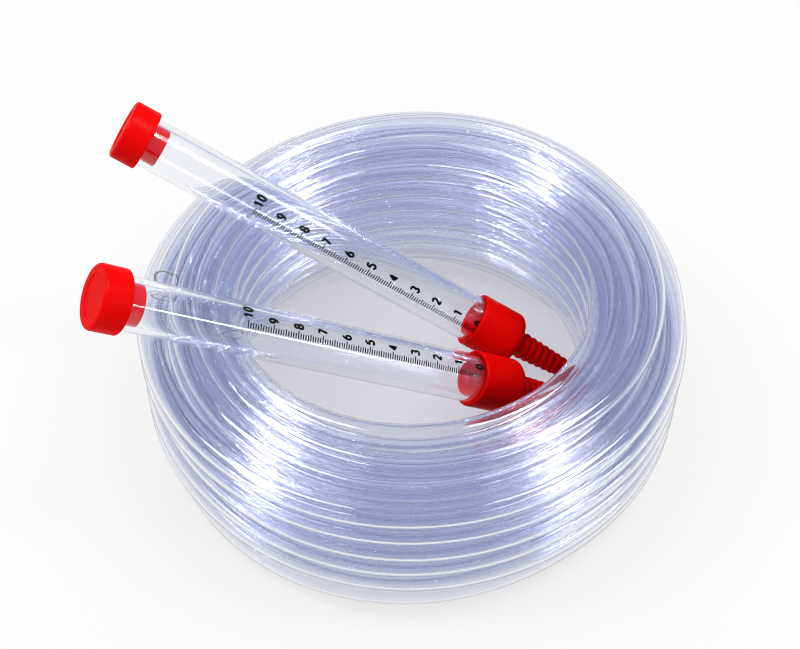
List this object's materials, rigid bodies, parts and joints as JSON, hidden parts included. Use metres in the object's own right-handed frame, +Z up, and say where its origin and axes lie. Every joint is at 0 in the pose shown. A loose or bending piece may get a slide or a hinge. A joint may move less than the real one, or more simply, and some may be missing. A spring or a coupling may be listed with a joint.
{
  "type": "water level",
  "caption": "Coil of clear hose with graduated gauge tubes leaning in its eye, each closed by a push-in stopper and ending in a barbed hose connector.",
  "frame": {"origin": "middle of the coil on the surface that it stands on", "axes": "+Z up along the coil's axis, +Y away from the picture's camera, +X to the right as seen from it"},
  "size_m": [0.2172, 0.2086, 0.1179],
  "materials": {
    "clear_hose": "clear soft PVC, glossy, faint lavender tint",
    "clear_tube": "clear polished acrylic with a printed black scale",
    "red_plastic": "smooth moulded red plastic"
  },
  "bodies": {
    "coil": {"hose_coil": "clear_hose"},
    "front_gauge": {"front_tube": "clear_tube", "front_connector": "red_plastic"},
    "front_cap": {"front_stopper": "red_plastic"},
    "rear_gauge": {"rear_tube": "clear_tube", "rear_connector": "red_plastic"},
    "rear_cap": {"rear_stopper": "red_plastic"}
  },
  "joints": [
    {"name": "front_gauge_lift", "type": "slide", "parent": "coil", "child": "front_gauge", "axis": [-0.8249, -0.2133, 0.5235], "range_m": [0, 0.085]},
    {"name": "front_stopper_pull", "type": "slide", "parent": "front_gauge", "child": "front_cap", "axis": [-0.8249, -0.2133, 0.5235], "range_m": [0, 0.02]},
    {"name": "rear_gauge_lift", "type": "slide", "parent": "coil", "child": "rear_gauge", "axis": [-0.842, 0.1334, 0.5228], "range_m": [0, 0.085]},
    {"name": "rear_stopper_pull", "type": "slide", "parent": "rear_gauge", "child": "rear_cap", "axis": [-0.842, 0.1334, 0.5228], "range_m": [0, 0.02]}
  ]
}
